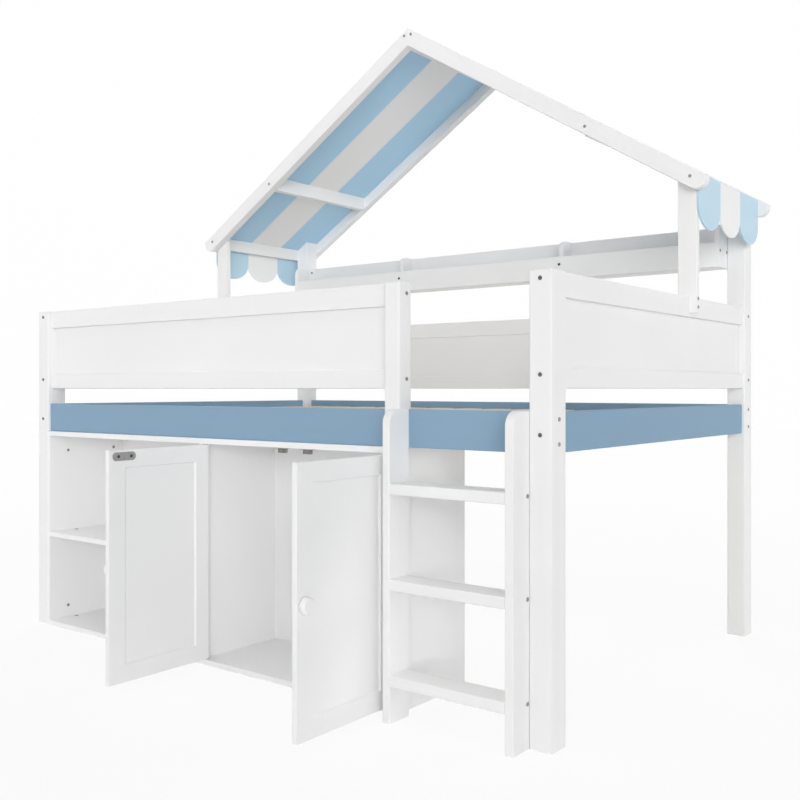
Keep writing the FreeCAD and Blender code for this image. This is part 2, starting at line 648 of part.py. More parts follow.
def door_leaf(label, hinge_x):
    """A framed door, drawn open: it runs towards -Y from a half-round hinge edge about the pin axis."""
    body = doc.addObject("PartDesign::Body", label)
    sketch = body.newObject("Sketcher::SketchObject", label + "_section")
    sketch.AttachmentSupport = [(origin_plane(body, "XY_Plane"), "")]
    sketch.MapMode = "FlatFace"
    half = float(places.evalExpression("sizes.door_thick / 2"))
    leaf = float(places.evalExpression("places.door_leaf"))
    corners = [FreeCAD.Vector(*point, 0) for point in ((-half, 0), (-half, -leaf), (half, -leaf), (half, 0))]
    hinge_circle = Part.Circle(FreeCAD.Vector(), FreeCAD.Vector(0, 0, 1), half)
    sketch.addGeometry(Part.ArcOfCircle(hinge_circle, 0, math.pi))
    for index in range(3):
        sketch.addGeometry(Part.LineSegment(corners[index], corners[index + 1]))
    sketch.addConstraint(Sketcher.Constraint("Coincident", 0, 3, -1, 1))
    sketch.addConstraint(Sketcher.Constraint("Tangent", 0, 2, 1, 1))
    sketch.addConstraint(Sketcher.Constraint("Coincident", 1, 2, 2, 1))
    sketch.addConstraint(Sketcher.Constraint("Coincident", 2, 2, 3, 1))
    sketch.addConstraint(Sketcher.Constraint("Tangent", 3, 2, 0, 1))
    sketch.addConstraint(Sketcher.Constraint("Vertical", 1))
    sketch.addConstraint(Sketcher.Constraint("Horizontal", 2))
    sketch.addConstraint(Sketcher.Constraint("Vertical", 3))
    number = sketch.addConstraint(Sketcher.Constraint("Radius", 0, half))
    sketch.renameConstraint(number, "hinge_round")
    sketch.setExpression("Constraints.hinge_round", "sizes.door_thick / 2")
    number = sketch.addConstraint(Sketcher.Constraint("DistanceY", 1, 2, -1, 1, leaf))
    sketch.renameConstraint(number, "reach")
    sketch.setExpression("Constraints.reach", "places.door_leaf")
    pad = body.newObject("PartDesign::Pad", label + "_leaf")
    pad.Profile = sketch
    sized(pad, Length="places.door_high")
    placed(body, (hinge_x, "places.hinge_y", "places.door_bottom"))
    along_z = runs_along("Z")
    rounded(body, "sizes.door_round", lambda edge: along_z(edge) and edge.CenterOfMass.y < 1 - leaf)
    field_y = "-places.door_leaf + sizes.door_stile"
    field_long = "places.door_leaf + sizes.door_thick / 2 - 2 * sizes.door_stile"
    for face, field_x in (("near", "-sizes.door_thick / 2"),
                          ("far", "sizes.door_thick / 2 - sizes.door_field_sunk")):
        cut_from(body, "Box", f"{face}_field", (field_x, field_y, "sizes.door_rail"),
                 Length="sizes.door_field_sunk", Width=field_long,
                 Height="places.door_high - 2 * sizes.door_rail")
    stile = float(places.evalExpression("sizes.door_stile"))
    rail = float(places.evalExpression("sizes.door_rail"))
    high = float(places.evalExpression("places.door_high"))

    def round_field(edge):
        box = edge.BoundBox
        on_face = abs(abs(edge.CenterOfMass.x) - half) < TOUCHING and box.XLength < TOUCHING
        framed = box.YMin > stile - leaf - TOUCHING and box.YMax < half - stile + TOUCHING
        return on_face and framed and box.ZMin > rail - TOUCHING and box.ZMax < high - rail + TOUCHING

    eased(body, "sizes.door_field_slope", round_field)
    for end, bore_z in (("low", "0"), ("high", "places.door_high - sizes.pin_in_door")):
        cut_from(body, "Cylinder", f"{end}_bore", ("0", "0", bore_z),
                 Radius="sizes.pin_radius + sizes.pin_fit", Height="sizes.pin_in_door")
    return body


# Doors: two framed leaves on pins, with a round knob outside and a catch plate inside.
for (side, hinge_x), outward in zip(HINGES, (-1, 1)):
    keep(door_leaf(f"{side}_door", hinge_x))
    pins = []
    pin_long = "sizes.pin_in_door + sizes.door_lift + sizes.pin_in_board"
    for end, z in (("low", f"{BOARD} - sizes.pin_in_board"),
                   ("high", "places.door_bottom + places.door_high - sizes.pin_in_door")):
        pin = doc.addObject("Part::Cylinder", f"{side}_{end}_pin")
        sized(pin, Radius="sizes.pin_radius", Height=pin_long)
        placed(pin, (hinge_x, "places.hinge_y", z))
        pins.append(pin)
    keep(grouped(f"{side}_door_pins", pins))

    knob = doc.addObject("PartDesign::Body", f"{side}_knob")
    turned = knob.newObject("PartDesign::Revolution", f"{side}_knob_turned")
    turned.Profile = sketched(knob, "XZ_Plane", [
        ("0", "0"),
        ("sizes.knob_neck_radius", "0"),
        ("sizes.knob_neck_radius", "sizes.knob_neck_long"),
        ("sizes.knob_radius", "sizes.knob_neck_long"),
        ("sizes.knob_radius", "sizes.knob_long - sizes.knob_slope"),
        ("sizes.knob_radius - sizes.knob_slope", "sizes.knob_long"),
        ("0", "sizes.knob_long"),
    ])
    turned.ReferenceAxis = (turned.Profile[0], ["V_Axis"])
    turned.Angle = 360
    knob.Placement.Rotation = FreeCAD.Rotation(FreeCAD.Vector(0, 1, 0), outward * 90)
    placed(knob, (f"{hinge_x} + {outward} * sizes.door_thick / 2",
                  "places.hinge_y - places.door_leaf + sizes.knob_from_edge", "sizes.knob_up"))
    keep(knob)

    inner_face = f"{hinge_x} + sizes.door_thick / 2"
    if outward > 0:
        inner_face = f"{hinge_x} - sizes.door_thick / 2 - sizes.plate_thick"
    plate = board(f"{side}_catch_plate", (
        inner_face, "places.hinge_y - places.door_leaf + sizes.plate_from_edge",
        "places.door_bottom + places.door_high - sizes.plate_from_top - sizes.plate_high"),
        ("sizes.plate_thick", "sizes.plate_long", "sizes.plate_high"))
    keep(rounded(plate, "sizes.plate_round", runs_along("X")))

# Magnetic catches screwed under the cabinet top by their ears, just behind the closed doors' plates.
catches = []
for side in ("left", "right"):
    mid = "places.wardrobe_mid_x"
    x = f"{mid} + sizes.catch_apart" if side == "right" else f"{mid} - sizes.catch_apart - sizes.catch_long"
    catch = board(f"catch_{side}", (
        x, "places.cabinet_y + sizes.door_thick + sizes.plate_thick + sizes.catch_play",
        "places.cabinet_under_top - sizes.catch_high"),
        ("sizes.catch_long", "sizes.catch_deep", "sizes.catch_high"))
    for end, ear_x in (("first", "0"), ("last", "sizes.catch_long - sizes.catch_ear_long")):
        cut_from(catch, "Box", f"{end}_ear", (ear_x, "0", "0"), Length="sizes.catch_ear_long",
                 Width="sizes.catch_deep", Height="sizes.catch_high - sizes.catch_ear_thick")
    catches.append(catch)
keep(grouped("door_catches", catches))

doc.recompute()
failed = [item.Name for item in doc.Objects if {"Invalid", "Error"} & set(item.State)]
failed += [node.Label for node in nodes if node.Shape.isNull() or not node.Shape.isValid()]
if failed:
    raise RuntimeError("not built: " + ", ".join(failed))
os.makedirs("parts", exist_ok=True)
for node in nodes:
    node.Shape.exportStep(os.path.join("parts", node.Label + ".step"))
print(len(nodes), "nodes,", sum(len(node.Shape.Solids) for node in nodes), "solids")
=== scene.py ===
import math

import bmesh
import bpy
from mathutils import Matrix, Vector


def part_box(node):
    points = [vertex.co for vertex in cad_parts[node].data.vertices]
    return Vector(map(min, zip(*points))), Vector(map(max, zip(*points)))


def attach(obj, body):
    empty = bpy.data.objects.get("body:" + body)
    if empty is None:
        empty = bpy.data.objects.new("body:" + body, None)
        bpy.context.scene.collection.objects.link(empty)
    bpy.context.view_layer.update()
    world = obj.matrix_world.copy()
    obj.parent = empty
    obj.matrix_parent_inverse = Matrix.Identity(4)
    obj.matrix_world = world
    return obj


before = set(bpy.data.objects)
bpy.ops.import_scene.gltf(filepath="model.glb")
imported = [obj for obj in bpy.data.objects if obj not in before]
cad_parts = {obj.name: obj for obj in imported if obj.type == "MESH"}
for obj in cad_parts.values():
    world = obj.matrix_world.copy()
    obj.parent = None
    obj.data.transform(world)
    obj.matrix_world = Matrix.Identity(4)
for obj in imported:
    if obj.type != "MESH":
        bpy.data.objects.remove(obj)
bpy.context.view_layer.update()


# Corner posts and ladder post: square pine posts with rounded arrises, primed, sanded and sprayed white.
# The satin coat has a fine orange peel, and the grain under it shows as faint long ridges.
# The front pair ends level with the guards and the back pair carries on up to the roof.
class Tone:
    """A socket of a finish. Sums and products of tones become Math nodes."""

    def __init__(self, socket):
        self.socket = socket

    def node(self, kind, settings=(), sockets=(), result=0):
        """Add a node beside this tone: its settings first, then its sockets by name or number."""
        made = self.socket.id_data.nodes.new(kind)
        for setting, value in dict(settings).items():
            setattr(made, setting, value)
        for name, value in dict(sockets).items():
            if isinstance(value, Tone):
                self.socket.id_data.links.new(value.socket, made.inputs[name])
            else:
                made.inputs[name].default_value = value
        return Tone(made.outputs[result])

    def maths(self, operation, first, second):
        return self.node("ShaderNodeMath", {"operation": operation}, {0: first, 1: second})

    def __add__(self, other):
        return self.maths("ADD", self, other)

    def __sub__(self, other):
        return self.maths("SUBTRACT", self, other)

    def __rsub__(self, other):
        return self.maths("SUBTRACT", other, self)

    def __mul__(self, other):
        return self.maths("MULTIPLY", self, other)

    def __gt__(self, other):
        return self.maths("GREATER_THAN", self, other)

    __radd__ = __add__
    __rmul__ = __mul__


def srgb(red, green, blue):
    """A colour read as 0 to 255 on a screen, as the linear colour a shader takes."""
    shares = [part / 255 for part in (red, green, blue)]
    return (*(s / 12.92 if s < 0.04045 else ((s + 0.055) / 1.055) ** 2.4 for s in shares), 1)


def new_finish(name):
    """An empty material: the material, its shader and the place on the piece as a tone."""
    material = bpy.data.materials.new(name)
    material.use_nodes = True
    shader = material.node_tree.nodes["Principled BSDF"]
    place = Tone(shader.outputs[0]).node("ShaderNodeTexCoord", result="Object")
    return material, shader, place


def noise(place, size, detail=2, roughness=0.5, distortion=0):
    """Soft noise from 0 to 1 whose lumps are about size across, in metres."""
    return place.node("ShaderNodeTexNoise", sockets={
        "Vector": place, "Scale": 1 / size, "Detail": detail,
        "Roughness": roughness, "Distortion": distortion})


def stretched(place, turn, size):
    """Coordinates turned to a board's length and stretched, so that one unit is size long, wide, deep."""
    return place.node("ShaderNodeMapping", {"vector_type": "TEXTURE"},
                      {"Vector": place, "Rotation": turn, "Scale": size})


def blended(amount, first, second):
    """A colour from first to second as amount goes from 0 to 1, by a Mix node's sockets for colours."""
    return amount.node("ShaderNodeMix", {"data_type": "RGBA"}, {0: amount, 6: first, 7: second}, 2)


def feed(shader, socket, tone):
    shader.id_data.links.new(tone.socket, shader.inputs[socket])


def bumped(shader, height, strength, distance):
    """Ridges on a finish, as high as distance in metres."""
    feed(shader, "Normal", height.node("ShaderNodeBump", sockets={
        "Strength": strength, "Distance": distance, "Height": height}))


CLOUD_SIZE = 0.45
PEEL_SIZE = 0.0035
GRAIN_SIZE = (0.85, 0.009, 0.009)
PEEL_HEIGHT = 0.35
GRAIN_HEIGHT = 0.65
CLOUD_SHADE = 0.55
GRAIN_SHADE = 0.45
DEEPEST = 0.955
PALEST = 1.03
PEEL_GLOSS = 0.16
CLOUD_GLOSS = 0.1
PAINT_BUMP = {"strength": 0.22, "distance": 0.0006}


def painted(name, colour, turn=None, sheen=0.36, shine=0.25):
    """Sprayed satin paint. A turn lays the grain of the wood below along a board."""
    material, shader, place = new_finish(name)
    cloud = noise(place, CLOUD_SIZE)
    peel = noise(place, PEEL_SIZE, detail=3)
    height = peel * PEEL_HEIGHT
    shade = cloud
    if turn is not None:
        grain = noise(stretched(place, turn, GRAIN_SIZE), 1, detail=4, roughness=0.6, distortion=0.4)
        height = height + grain * GRAIN_HEIGHT
        shade = cloud * CLOUD_SHADE + grain * GRAIN_SHADE
    deep = (*(part * DEEPEST for part in colour[:3]), 1)
    pale = (*(min(1, part * PALEST) for part in colour[:3]), 1)
    feed(shader, "Base Color", blended(shade, deep, pale))
    shader.inputs["Specular IOR Level"].default_value = shine
    feed(shader, "Roughness", sheen + (peel - 0.5) * PEEL_GLOSS + (cloud - 0.5) * CLOUD_GLOSS)
    bumped(shader, height, **PAINT_BUMP)
    return material


FACETS_JOIN = 0.00001
SHARP_FROM = math.radians(40)
ARRIS_STEPS = 2


def finished(material, *names, arris=0.0008):
    """Give CAD pieces their finish and take the last sharpness off their edges."""
    for name in names:
        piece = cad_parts[name]
        piece.material_slots[0].material = material
        if arris:
            weld = piece.modifiers.new("joined_facets", "WELD")
            weld.merge_threshold = FACETS_JOIN
            soft = piece.modifiers.new("soft_arris", "BEVEL")
            soft.width = arris
            soft.segments = ARRIS_STEPS
            soft.limit_method = "ANGLE"
            soft.angle_limit = SHARP_FROM
            soft.harden_normals = True


WHITE = srgb(247, 247, 247)
ALONG_X = (0, 0, 0)
ALONG_Y = (0, 0, math.pi / 2)
ALONG_Z = (0, -math.pi / 2, 0)
SIDES = (("left", -1), ("right", 1))
ROWS = (("front", -1), ("back", 1))
white_upright = painted("white_paint_upright", WHITE, ALONG_Z)
finished(white_upright, *(f"{row}_post_{side}" for row, _ in ROWS for side, _ in SIDES), "ladder_post")


# Bolts through the posts: steel button heads with a hexagon socket, drawn up tight on the paint.
# One dark bolt holds each end of a long rail, and one or two plated ones hold the rails across the ends.
HEX_SIDES = 6
CROSS_WAIST = 3
HEAD_STEPS = 24
RIM_ROUND = 0.6
RIM_STEPS = 3
CROWN_RING = 0.2


def hexagon_radius(angle, across):
    """Distance from the middle of a hexagon to its side at an angle."""
    wedge = 2 * math.pi / HEX_SIDES
    return across / 2 / math.cos((angle % wedge) - wedge / 2)


def cross_radius(angle, across):
    """Distance from the middle of a cross recess to its side at an angle."""
    quarter = math.pi / 2
    nearest = abs((angle + quarter / 2) % quarter - quarter / 2)
    return across / 2 if nearest < quarter / 4 else across / 2 / CROSS_WAIST


def screw_head(radius, rise, recess, across, deep):
    """One head on the XY plane, looking up, with its recess."""
    head = bmesh.new()
    bmesh.ops.create_circle(head, cap_ends=True, segments=HEAD_STEPS, radius=radius)
    raised = bmesh.ops.extrude_face_region(head, geom=head.faces[:])
    top = [item for item in raised["geom"] if isinstance(item, bmesh.types.BMVert)]
    bmesh.ops.translate(head, verts=top, vec=(0, 0, rise))
    rim = [edge for edge in head.edges if all(vert.co.z > rise / 2 for vert in edge.verts)]
    bmesh.ops.bevel(head, geom=rim, offset=rise * RIM_ROUND, affect="EDGES",
                    segments=RIM_STEPS, profile=0.5, material=-1)
    crown = max(head.faces, key=lambda face: face.calc_center_median().z)
    bmesh.ops.inset_region(head, faces=[crown], thickness=radius * CROWN_RING)
    for vert in crown.verts:
        angle = math.atan2(vert.co.y, vert.co.x)
        reach = recess(angle, across)
        vert.co.x = math.cos(angle) * reach
        vert.co.y = math.sin(angle) * reach
    sunk = bmesh.ops.extrude_face_region(head, geom=[crown])
    floor_verts = [item for item in sunk["geom"] if isinstance(item, bmesh.types.BMVert)]
    bmesh.ops.delete(head, geom=[crown], context="FACES_ONLY")
    bmesh.ops.translate(head, verts=floor_verts, vec=(0, 0, -deep))
    bmesh.ops.recalc_face_normals(head, faces=head.faces[:])
    mesh = bpy.data.meshes.new("head")
    head.to_mesh(mesh)
    head.free()
    return mesh


def new_piece(name, build, material):
    """An object at the origin from a finished bmesh."""
    mesh = bpy.data.meshes.new(name)
    build.to_mesh(mesh)
    build.free()
    mesh.materials.append(material)
    piece = bpy.data.objects.new(name, mesh)
    bpy.context.scene.collection.objects.link(piece)
    return piece


def fixed_heads(name, head, spots, material, body):
    """One piece of like heads: each spot is a point on a face and the way that the face looks."""
    build = bmesh.new()
    for point, way in spots:
        first = len(build.verts)
        build.from_mesh(head)
        build.verts.ensure_lookup_table()
        turn = Vector(way).to_track_quat("Z", "Y").to_matrix().to_4x4()
        bmesh.ops.transform(build, matrix=Matrix.Translation(point) @ turn, verts=build.verts[first:])
    for face in build.faces:
        face.smooth = len(face.verts) == 4
    piece = new_piece(name, build, material)
    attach(piece, body)


RUB_SIZE = 0.004
STEEL_SHEEN = 0.3
RUB_GLOSS = 0.25


def bolt_finish(name, dull, bright):
    """Plated or blackened steel, rubbed a little brighter in patches."""
    material, shader, place = new_finish(name)
    rub = noise(place, RUB_SIZE, detail=3)
    feed(shader, "Base Color", blended(rub, dull, bright))
    feed(shader, "Roughness", STEEL_SHEEN + rub * RUB_GLOSS)
    shader.inputs["Metallic"].default_value = 1
    return material


BOLT_SUNK = 0.0002
LONG_RAIL_LEVELS = (1.054, 0.839, 0.704)
END_RAIL_LEVELS = (0.739, 0.683)
END_GUARD_LEVELS = (1.045, 0.836)
LADDER_POST_LEVELS = (1.046, 0.832)
LADDER_POST_BOLT_IN = 0.03
bolt_steel = bolt_finish("plated_bolt_steel", dull=(0.24, 0.24, 0.245, 1), bright=(0.46, 0.455, 0.45, 1))
dark_steel = bolt_finish("dark_bolt_steel", dull=(0.1, 0.1, 0.102, 1), bright=(0.22, 0.218, 0.215, 1))
bolt_head = screw_head(radius=0.005, rise=0.0022, recess=hexagon_radius, across=0.0042, deep=0.0016)
spots = []
long_spots = []
for side, out in SIDES:
    for row, away in ROWS:
        low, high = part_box(f"{row}_post_{side}")
        middle = (low + high) / 2
        face_y = (low.y if away < 0 else high.y) - away * BOLT_SUNK
        long_spots += [(Vector((middle.x, face_y, level)), (0, away, 0)) for level in LONG_RAIL_LEVELS]
        face_x = (low.x if out < 0 else high.x) - out * BOLT_SUNK
        levels = END_RAIL_LEVELS
        if (side, row) != ("right", "front"):
            levels += END_GUARD_LEVELS
        spots += [(Vector((face_x, middle.y, level)), (out, 0, 0)) for level in levels]
low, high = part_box("ladder_post")
face = high.x - BOLT_SUNK
spots += [(Vector((face, low.y + LADDER_POST_BOLT_IN, level)), (1, 0, 0)) for level in LADDER_POST_LEVELS]
fixed_heads("end_bolts", bolt_head, spots, bolt_steel, "bed_frame")
fixed_heads("long_rail_bolts", bolt_head, long_spots, dark_steel, "bed_frame")


# Guards: pine top and low rails with rounded edges, and smooth sprayed panels let into their grooves.
# All white, the rails bolted between the posts from outside.
white_long = painted("white_paint_long", WHITE, ALONG_X)
white_across = painted("white_paint_across", WHITE, ALONG_Y)
white_board = painted("white_sprayed_board", WHITE)
for row, _ in ROWS:
    finished(white_long, f"{row}_guard_top_rail", f"{row}_guard_low_rail")
for side, _ in SIDES:
    finished(white_across, f"{side}_guard_top_rail", f"{side}_guard_low_rail")
finished(white_board, *(f"{name}_guard_panel" for name, _ in ROWS + SIDES))


# Bed rails: pine boards in muted blue paint, flatter than the white, with the same faint grain under it.
# They are bolted between the posts all round, and the long ones carry the slat ledges.
RAIL_BLUE = srgb(142, 172, 196)
RAIL_SHEEN = 0.5
RAIL_SHINE = 0.08
rail_blue_long = painted("rail_blue_long", RAIL_BLUE, ALONG_X, RAIL_SHEEN, RAIL_SHINE)
rail_blue_across = painted("rail_blue_across", RAIL_BLUE, ALONG_Y, RAIL_SHEEN, RAIL_SHINE)
finished(rail_blue_long, "front_bed_rail", "back_bed_rail")
finished(rail_blue_across, "left_bed_rail", "right_bed_rail")


# Slats, ledges and centre beam: planed pine left bare, with growth rings, fine fibres and small knots.
# The slats lie across, and zinc-plated cross-head screws hold them to both ledges and the beam.
EARLY_WOOD = srgb(228, 221, 208)
LATE_WOOD = srgb(208, 194, 170)
FIBRE_TAN = srgb(198, 181, 156)
KNOT_BROWN = srgb(140, 107, 76)
KNOT_APART = (0.31, 0.075, 0.075)
KNOT_EDGE = (0.17, 0.08)
RING_DRIFT = (0.9, 0.035, 0.035)
RING_COUNT = 9
RINGS_ROUND_KNOT = 1.2
LATE_EDGE = (0.2, 0.5)
FIBRE_SIZE = (0.12, 0.0009, 0.0009)
FIBRE_SHADE = 0.35
KNOT_SHADE = 0.85
PLANED_SHEEN = 0.55
FIBRE_GLOSS = 0.2
LATE_GLOSS = 0.08
PINE_BUMP = {"strength": 0.35, "distance": 0.0005}


def eased(tone, start, end):
    """0 to 1, with soft ends, as a tone goes from start to end."""
    return tone.node("ShaderNodeMapRange", {"interpolation_type": "SMOOTHSTEP"},
                     {"Value": tone, "From Min": start, "From Max": end})


def bare_pine(name, turn):
    """Planed softwood: pale early wood, tan late wood lines, fibres and a few knots."""
    material, shader, place = new_finish(name)
    cell = stretched(place, turn, KNOT_APART)
    knot = eased(place.node("ShaderNodeTexVoronoi", sockets={"Vector": cell, "Scale": 1}), *KNOT_EDGE)
    drift = noise(stretched(place, turn, RING_DRIFT), 1, distortion=0.3)
    spread = drift * RING_COUNT + knot * RINGS_ROUND_KNOT
    late = eased(spread.node("ShaderNodeMath", {"operation": "PINGPONG"}, {0: spread, 1: 0.5}), *LATE_EDGE)
    fibre = noise(stretched(place, turn, FIBRE_SIZE), 1)
    wood = blended(fibre * FIBRE_SHADE, blended(late, EARLY_WOOD, LATE_WOOD), FIBRE_TAN)
    feed(shader, "Base Color", blended(knot * KNOT_SHADE, wood, KNOT_BROWN))
    feed(shader, "Roughness", PLANED_SHEEN + fibre * FIBRE_GLOSS - late * LATE_GLOSS)
    bumped(shader, fibre * 0.5 + late * 0.5, **PINE_BUMP)
    return material


ZINC_DULL = (0.42, 0.405, 0.385, 1)
ZINC_BRIGHT = (0.62, 0.605, 0.58, 1)
ZINC_SHEEN = 0.3
SPANGLE_SIZE = 0.006
ROLLED_SIZE = (0.03, 0.0006, 0.0006)
ROLLED_GLOSS = 0.22


def zinc_steel(name, turn):
    """Zinc plate on pressed steel, with faint spangle and rolling marks."""
    material, shader, place = new_finish(name)
    spangle = noise(place, SPANGLE_SIZE)
    rolled = noise(stretched(place, turn, ROLLED_SIZE), 1)
    feed(shader, "Base Color", blended(spangle, ZINC_DULL, ZINC_BRIGHT))
    feed(shader, "Roughness", ZINC_SHEEN + rolled * ROLLED_GLOSS)
    shader.inputs["Metallic"].default_value = 1
    return material


SLAT_COUNT = 14
SLAT_WIDE = 0.07
LEDGE_WIDE = 0.025
finished(bare_pine("bare_pine_across", ALONG_Y), "slats")
finished(bare_pine("bare_pine_long", ALONG_X), "slat_ledges", "centre_beam")
screw_zinc = zinc_steel("screw_zinc", ALONG_X)
screw = screw_head(radius=0.0036, rise=0.0009, recess=cross_radius, across=0.0036, deep=0.0007)
low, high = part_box("slats")
first_slat = low.x + SLAT_WIDE / 2
step = (high.x - low.x - SLAT_WIDE) / (SLAT_COUNT - 1)
beam_low, beam_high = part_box("centre_beam")
ledge_low, ledge_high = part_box("slat_ledges")
lines = (ledge_low.y + LEDGE_WIDE / 2, (beam_low.y + beam_high.y) / 2, ledge_high.y - LEDGE_WIDE / 2)
spots = [(Vector((first_slat + step * count, line, high.z - BOLT_SUNK)), (0, 0, 1))
         for count in range(SLAT_COUNT) for line in lines]
fixed_heads("slat_screws", screw, spots, screw_zinc, "bed_frame")


# Ladder: two flat pine stiles with a large round at the top, and three wide flat rungs, all white.
# The rungs are bolted through the stiles, one bolt at each end.
RUNG_BOLT_LEVELS = (0.102, 0.336, 0.567)
RUNG_BOLT_IN = 0.0615
finished(white_upright, "ladder_stile_left", "ladder_stile_right")
finished(white_long, "ladder_rungs")
spots = []
for side, out in SIDES:
    low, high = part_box(f"ladder_stile_{side}")
    face = (low.x if out < 0 else high.x) - out * BOLT_SUNK
    spots += [(Vector((face, low.y + RUNG_BOLT_IN, level)), (out, 0, 0)) for level in RUNG_BOLT_LEVELS]
fixed_heads("ladder_bolts", bolt_head, spots, bolt_steel, "bed_frame")


# Roof posts: flat white boards at the front eaves, each notched to a tongue that laps an end guard.
# Two bolts hold each tongue to the guard's top rail.
TONGUE_BOLT_LEVELS = (1.067, 1.043)
finished(white_upright, "roof_post_left", "roof_post_right")
spots = []
for side, out in SIDES:
    low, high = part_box(f"roof_post_{side}")
    face = (low.x if out < 0 else high.x) - out * BOLT_SUNK
    spots += [(Vector((face, (low.y + high.y) / 2, level)), (out, 0, 0)) for level in TONGUE_BOLT_LEVELS]
fixed_heads("tongue_bolts", bolt_head, spots, bolt_steel, "bed_frame")


# Rafters and bars: two pine gables, mitred at the apex and rounded at the tails, joined by five bars.
# The grain runs down each slope, and each rafter is bolted to the end of every bar that it meets.
RISE_PER_RUN = 0.61643
MITRE_ARRIS = 0.0015
BAR_BOLTS = ((1.0117, 1.414), (0.6815, 1.610), (0.0145, 2.0415))
roof_slope = math.atan(RISE_PER_RUN)
spots = []
for side, out in SIDES:
    white_slope = painted(f"white_paint_slope_{side}", WHITE, (0, out * roof_slope, 0))
    for row, away in ROWS:
        finished(white_slope, f"{row}_rafter_{side}", arris=MITRE_ARRIS)
        low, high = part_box(f"{row}_rafter_{side}")
        face = (low.y if away < 0 else high.y) - away * BOLT_SUNK
        spots += [(Vector((out * aside, face, level)), (0, away, 0)) for aside, level in BAR_BOLTS]
finished(white_across, "ridge_bar", "roof_bars")
fixed_heads("rafter_bolts", bolt_head, spots, bolt_steel, "bed_frame")


# Awning and valance: thin sprayed boards in broad stripes of pale blue, white and pale blue.
# The awning boards lie on the bars, and the scalloped valances hang on the outer faces of the eave bars.
# The awning and valance boards share one pale blue paint. The awning's copy is bluer as painted shade: it
# is the deeper tint that the underside shows under the roof.
AWNING_BLUE_PAINTED_SHADE = srgb(182, 221, 247)
VALANCE_BLUE = srgb(193, 223, 240)
finished(painted("awning_blue_painted_shade", AWNING_BLUE_PAINTED_SHADE), "awning_blue", arris=0)
finished(painted("valance_blue_board", VALANCE_BLUE, shine=0.5), "valance_blue")
finished(white_board, "awning_white", arris=0)
finished(white_board, "valance_white")


# Display shelf: white boards between the back posts, with a low front lip, dividers and rounded ends.
# Black bolts pass through the lip into the dividers, plated ones through the ends and the back.
LIP_BOLT_ASIDE = 0.365
LIP_BOLT_LEVEL = 1.256
END_BOLTS_IN = (0.006, 0.067)
BACK_BOLT_ASIDE = 0.9205
BACK_BOLT_LEVEL = 1.326
finished(white_board, "shelf_back", "shelf_base", "shelf_lip", "shelf_uprights")
# The same black steel serves the doors' plate screws. There it is painted shade for the shadow in their
# cross recesses.
black_steel_and_painted_shade = bolt_finish("black_bolt_steel_and_painted_shade", dull=(0.045, 0.045, 0.047, 1), bright=(0.13, 0.128, 0.125, 1))
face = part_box("shelf_lip")[0].y + BOLT_SUNK
spots = [(Vector((out * LIP_BOLT_ASIDE, face, LIP_BOLT_LEVEL)), (0, -1, 0)) for _, out in SIDES]
fixed_heads("shelf_lip_bolts", bolt_head, spots, black_steel_and_painted_shade, "bed_frame")
low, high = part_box("shelf_uprights")
face_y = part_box("shelf_back")[0].y + BOLT_SUNK
spots = []
for _, out in SIDES:
    spots.append((Vector((out * BACK_BOLT_ASIDE, face_y, BACK_BOLT_LEVEL)), (0, -1, 0)))
    face_x = (low.x if out < 0 else high.x) - out * BOLT_SUNK
    spots += [(Vector((face_x, low.y + inward, LIP_BOLT_LEVEL)), (out, 0, 0)) for inward in END_BOLTS_IN]
fixed_heads("shelf_bolts", bolt_head, spots, bolt_steel, "bed_frame")


# Cabinet: sprayed boards under the bed, open on the left and with two doors on the right.
# Bolts show inside the left side, and cam fittings draw the shelf and the base to it.
# The cabinet, door and knob white is a touch paler than the white paint elsewhere. This is painted light,
# to brighten the shaded inside of the cabinet.
CABINET_WHITE_PAINTED_LIGHT = srgb(251, 251, 251)
SIDE_BOLTS = ((0.072, 0.594), (0.259, 0.596), (0.072, 0.055))
CAM_FROM_SIDE = 0.0165
CAM_FROM_FRONT = 0.094
cabinet_white_painted_light = painted("cabinet_board_painted_light", CABINET_WHITE_PAINTED_LIGHT)
finished(cabinet_white_painted_light, "cabinet_top", "cabinet_base", "cabinet_side_left", "cabinet_divider",
         "cabinet_side_right", "cabinet_shelf", "cabinet_back")
low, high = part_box("cabinet_side_left")
spots = [(Vector((high.x - BOLT_SUNK, low.y + inward, level)), (1, 0, 0)) for inward, level in SIDE_BOLTS]
fixed_heads("cabinet_bolts", bolt_head, spots, bolt_steel, "bed_frame")
cam_head = screw_head(radius=0.0072, rise=0.0008, recess=cross_radius, across=0.009, deep=0.0007)
spots = []
for board in ("cabinet_shelf", "cabinet_base"):
    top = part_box(board)[1].z
    spots.append((Vector((high.x + CAM_FROM_SIDE, low.y + CAM_FROM_FRONT, top - BOLT_SUNK)), (0, 0, 1)))
fixed_heads("cabinet_cams", cam_head, spots, bolt_steel, "bed_frame")


# Doors: white frames round a shallow sunk field, on steel pins at their outer edges, with turned knobs.
# A zinc plate at the free top corner meets a magnetic catch under the cabinet top.
PLATE_SCREWS_ALONG = (0.019, 0.06)
door_zinc = zinc_steel("door_zinc", ALONG_Y)
plate_screw = screw_head(radius=0.0042, rise=0.0009, recess=cross_radius, across=0.0044, deep=0.0007)
for side, out in SIDES:
    finished(cabinet_white_painted_light, f"{side}_door", f"{side}_knob")
    finished(door_zinc, f"{side}_door_pins", f"{side}_catch_plate", arris=0)
    low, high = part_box(f"{side}_catch_plate")
    face = (high.x if out < 0 else low.x) + out * BOLT_SUNK
    level = (low.z + high.z) / 2
    spots = [(Vector((face, low.y + along, level)), (-out, 0, 0)) for along in PLATE_SCREWS_ALONG]
    # The plate screws take the black steel all over. This is painted shade that stands for the shadow in
    # their cross recesses.
    fixed_heads(f"{side}_plate_screws", plate_screw, spots, black_steel_and_painted_shade, f"{side}_door_leaf")


